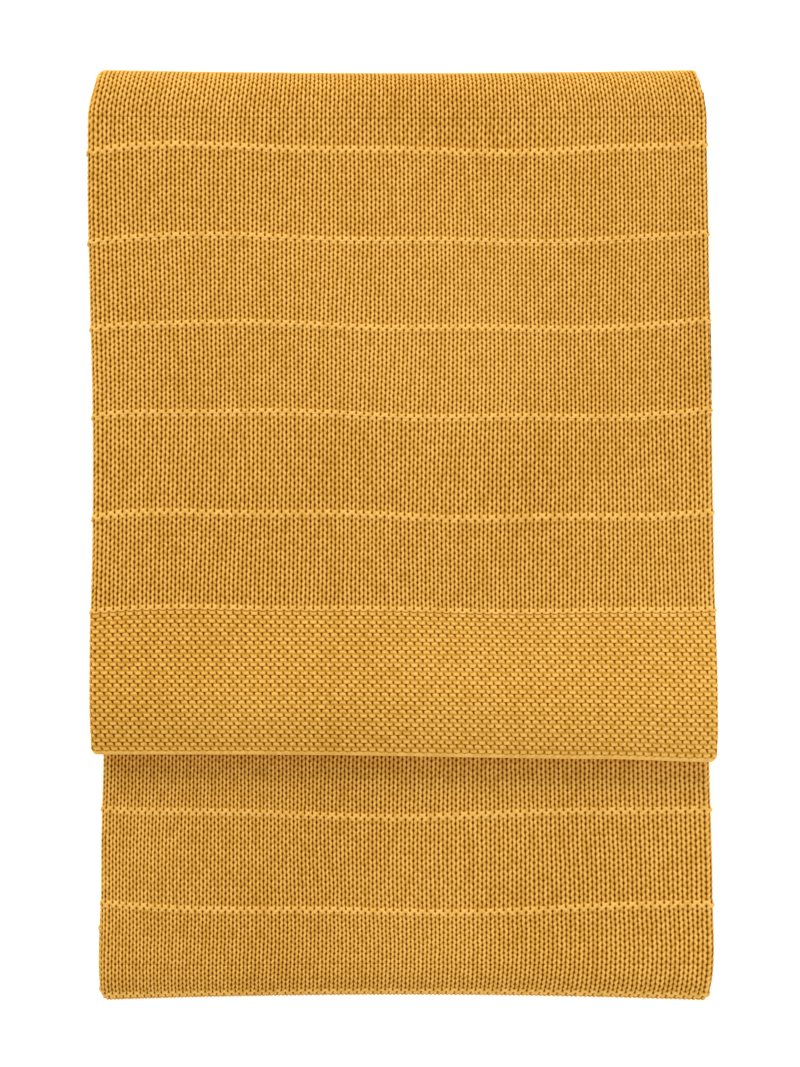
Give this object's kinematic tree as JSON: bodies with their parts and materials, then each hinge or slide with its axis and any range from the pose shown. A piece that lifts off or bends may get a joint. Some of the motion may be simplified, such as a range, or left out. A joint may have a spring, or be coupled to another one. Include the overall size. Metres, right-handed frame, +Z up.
{
  "type": "folded throw blanket",
  "caption": "Knitted cotton throw folded in four across and in half, with both ends turned down as one flap, raised ridges and a ribbed border.",
  "frame": {"origin": "on the surface that the throw lies on, under the middle of its outline", "axes": "+Z up out of the stack, +Y towards the edge where the flap turns over, +X towards the side with the side turns and selvedges"},
  "size_m": [0.325, 0.487, 0.0436],
  "materials": {
    "stockinette_knit": "matte mustard cotton, plain knit with raised ridges",
    "garter_knit": "matte mustard cotton, ribbed garter-stitch border",
    "edge_yarn": "matte mustard cotton yarn, cast-on and bound-off edge"
  },
  "bodies": {
    "base": {"base_leaf_outer_wrap": "stockinette_knit", "base_leaf_inner_wrap": "stockinette_knit", "base_leaf_side_turn": "stockinette_knit", "bottom_fold_outer_wrap": "stockinette_knit", "bottom_fold_inner_wrap": "stockinette_knit", "bottom_fold_side_turn": "stockinette_knit", "middle_leaf_outer_wrap": "stockinette_knit", "middle_leaf_inner_wrap": "stockinette_knit", "middle_leaf_side_turn": "stockinette_knit"},
    "outer_spine": {"outer_fold_outer_wrap": "stockinette_knit", "outer_fold_inner_wrap": "stockinette_knit", "outer_fold_side_turn": "stockinette_knit"},
    "outer_flap": {"outer_flap_outer_wrap": "stockinette_knit", "outer_flap_inner_wrap": "stockinette_knit", "outer_flap_side_turn": "stockinette_knit", "outer_border_outer_wrap": "garter_knit", "outer_border_inner_wrap": "garter_knit", "outer_border_side_turn": "garter_knit", "cast_on_edge": "edge_yarn"},
    "inner_spine": {"inner_fold_outer_wrap": "stockinette_knit", "inner_fold_inner_wrap": "stockinette_knit", "inner_fold_side_turn": "stockinette_knit"},
    "inner_flap": {"inner_flap_outer_wrap": "stockinette_knit", "inner_flap_inner_wrap": "stockinette_knit", "inner_flap_side_turn": "stockinette_knit", "inner_border_outer_wrap": "garter_knit", "inner_border_inner_wrap": "garter_knit", "inner_border_side_turn": "garter_knit", "bound_off_edge": "edge_yarn"}
  },
  "joints": [
    {"name": "flap_turn_start", "type": "hinge", "parent": "base", "child": "outer_spine", "pos_m": [0, 0.23466, 0.00884], "axis": [-1, 0, 0], "range_deg": [0, 90], "deforming": ["outer_fold_outer_wrap", "outer_fold_inner_wrap", "outer_fold_side_turn"]},
    {"name": "flap_turn_end", "type": "hinge", "parent": "outer_spine", "child": "outer_flap", "pos_m": [0, 0.23466, 0.03476], "axis": [-1, 0, 0], "range_deg": [0, 90]},
    {"name": "inner_turn_start", "type": "hinge", "parent": "base", "child": "inner_spine", "pos_m": [0, 0.22602, 0.01748], "axis": [-1, 0, 0], "range_deg": [0, 90], "deforming": ["inner_fold_outer_wrap", "inner_fold_inner_wrap", "inner_fold_side_turn"]},
    {"name": "inner_turn_end", "type": "hinge", "parent": "inner_spine", "child": "inner_flap", "pos_m": [0, 0.22602, 0.02612], "axis": [-1, 0, 0], "range_deg": [0, 90]}
  ],
  "couplings": [
    {"joint": "flap_turn_end", "follows": "flap_turn_start", "ratio": 1},
    {"joint": "inner_turn_start", "follows": "flap_turn_start", "ratio": 1},
    {"joint": "inner_turn_end", "follows": "flap_turn_start", "ratio": 1}
  ]
}
